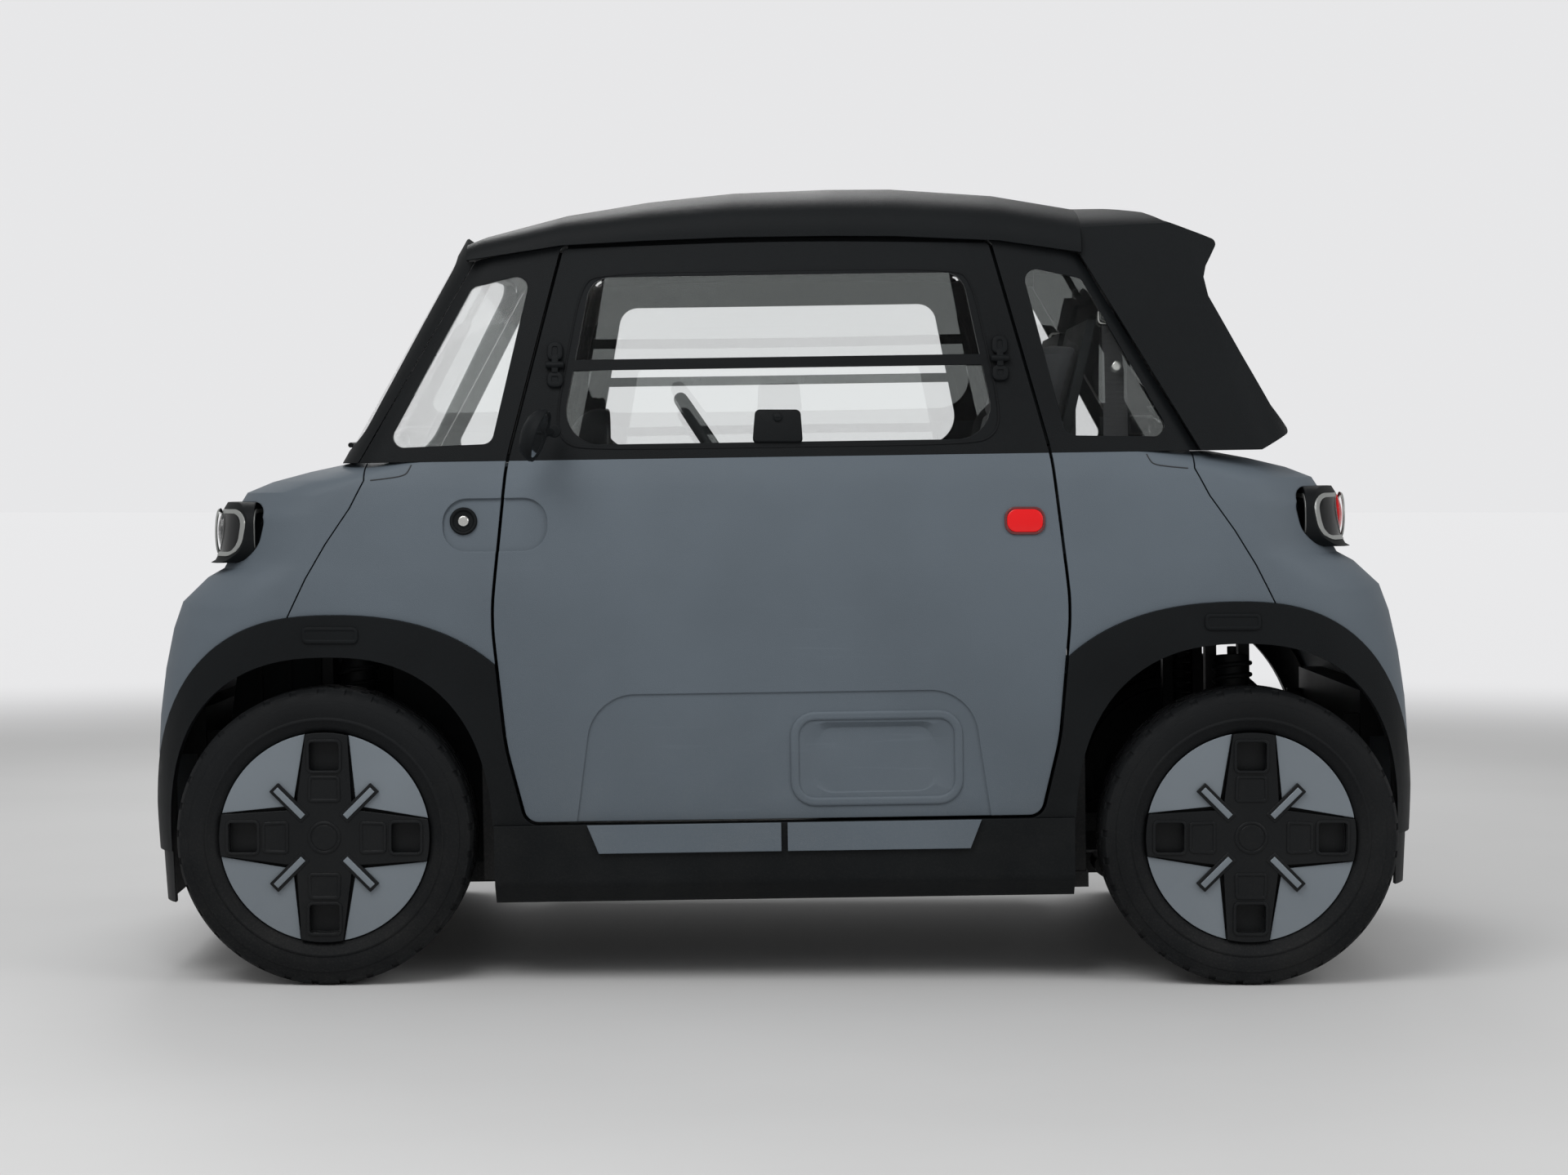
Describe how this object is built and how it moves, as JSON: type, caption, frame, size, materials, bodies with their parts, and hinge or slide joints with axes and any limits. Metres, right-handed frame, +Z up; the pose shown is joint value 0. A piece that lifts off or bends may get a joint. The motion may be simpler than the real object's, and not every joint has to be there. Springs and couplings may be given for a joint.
{
  "type": "electric microcar",
  "caption": "Small two-seat electric quadricycle with moulded grey panels, black glasshouse, opposed side doors, steered front wheels and cross-pattern wheel covers.",
  "frame": {"origin": "on the ground below the middle of the bounding box", "axes": "+X forward, +Y to the car's left, +Z up"},
  "size_m": [2.4083, 1.638, 1.519],
  "materials": {
    "body_panel": "through-coloured satin grey moulding",
    "black_trim": "black moulding, fine grain",
    "window_glass": "clear glazing",
    "lamp_lens": "clear lamp lens",
    "red_lens": "red lamp lens",
    "tyre_rubber": "road tyre",
    "wheel_black": "black wheel and cover cross",
    "wheel_silver": "silver cover panels",
    "frame_steel": "black coated steel",
    "cabin_moulding": "dark cabin moulding",
    "seat_fabric": "woven seat cover",
    "battery_case": "sealed battery case",
    "motor_case": "cast motor case"
  },
  "bodies": {
    "body": {"front_fascia": "body_panel", "rear_fascia": "body_panel", "front_quarter_panels": "body_panel", "rear_quarter_panels": "body_panel", "lamp_bands": "black_trim", "valances": "black_trim", "lamp_housings": "black_trim", "headlamp_lenses": "lamp_lens", "tail_lamp_lenses": "red_lens", "arch_trims": "black_trim", "sills": "black_trim", "sill_strips": "body_panel", "quarter_window_frames": "black_trim", "quarter_window_panes": "window_glass", "windscreen_frame": "black_trim", "windscreen": "window_glass", "rear_screen_surround": "black_trim", "rear_screen": "window_glass", "roof_panel": "black_trim", "chassis_frame": "frame_steel", "door_posts": "frame_steel", "bumper_beams": "frame_steel", "belt_rings": "frame_steel", "cabin_tub": "cabin_moulding", "traction_battery": "battery_case", "drive_unit": "motor_case", "front_suspension": "frame_steel", "rear_suspension": "frame_steel", "steering_rack": "frame_steel", "steering_column": "frame_steel", "dashboard": "cabin_moulding", "seat_shells": "cabin_moulding", "seat_pads": "seat_fabric"},
    "door_left": {"door_panel_left": "body_panel", "door_window_frame_left": "black_trim", "door_panes_left": "window_glass", "mirror_left": "black_trim"},
    "steer_left": {"knuckle_left": "frame_steel"},
    "door_right": {"door_panel_right": "body_panel", "door_window_frame_right": "black_trim", "door_panes_right": "window_glass", "mirror_right": "black_trim"},
    "steer_right": {"knuckle_right": "frame_steel"},
    "steering_wheel": {"steering_wheel": "cabin_moulding"},
    "wheel_front_left": {"tyre_front_left": "tyre_rubber", "wheel_front_left": "wheel_black", "wheel_panels_front_left": "wheel_silver"},
    "wheel_front_right": {"tyre_front_right": "tyre_rubber", "wheel_front_right": "wheel_black", "wheel_panels_front_right": "wheel_silver"},
    "wheel_rear_left": {"tyre_rear_left": "tyre_rubber", "wheel_rear_left": "wheel_black", "wheel_panels_rear_left": "wheel_silver"},
    "wheel_rear_right": {"tyre_rear_right": "tyre_rubber", "wheel_rear_right": "wheel_black", "wheel_panels_rear_right": "wheel_silver"}
  },
  "joints": [
    {"name": "steer_left", "type": "hinge", "parent": "body", "child": "steer_left", "pos_m": [0.857, 0.6, 0.2785], "axis": [0, 0, 1], "range_deg": [-33, 33]},
    {"name": "steer_right", "type": "hinge", "parent": "body", "child": "steer_right", "pos_m": [0.857, -0.6, 0.2785], "axis": [0, 0, 1], "range_deg": [-33, 33]},
    {"name": "steering_wheel_turn", "type": "hinge", "parent": "body", "child": "steering_wheel", "pos_m": [0.10919, 0.3, 0.96143], "axis": [-0.8304, 0, 0.5572], "range_deg": [-400, 400]},
    {"name": "front_left_wheel_spin", "type": "hinge", "parent": "steer_left", "child": "wheel_front_left", "pos_m": [0.857, 0.612, 0.2785], "axis": [0, 1, 0], "continuous": true},
    {"name": "front_right_wheel_spin", "type": "hinge", "parent": "steer_right", "child": "wheel_front_right", "pos_m": [0.857, -0.612, 0.2785], "axis": [0, 1, 0], "continuous": true},
    {"name": "rear_left_wheel_spin", "type": "hinge", "parent": "body", "child": "wheel_rear_left", "pos_m": [-0.871, 0.612, 0.2785], "axis": [0, 1, 0], "continuous": true},
    {"name": "rear_right_wheel_spin", "type": "hinge", "parent": "body", "child": "wheel_rear_right", "pos_m": [-0.871, -0.612, 0.2785], "axis": [0, 1, 0], "continuous": true},
    {"name": "door_left_swing", "type": "hinge", "parent": "body", "child": "door_left", "pos_m": [-0.53544, 0.7, 0.65807], "axis": [0.015, 0, 0.9999], "range_deg": [0, 68]},
    {"name": "door_right_swing", "type": "hinge", "parent": "body", "child": "door_right", "pos_m": [0.54444, -0.7, 0.64186], "axis": [0.015, 0, 0.9999], "range_deg": [0, 68]}
  ],
  "couplings": [
    {"joint": "steer_right", "follows": "steer_left", "ratio": 1},
    {"joint": "steering_wheel_turn", "follows": "steer_left", "ratio": 12}
  ]
}
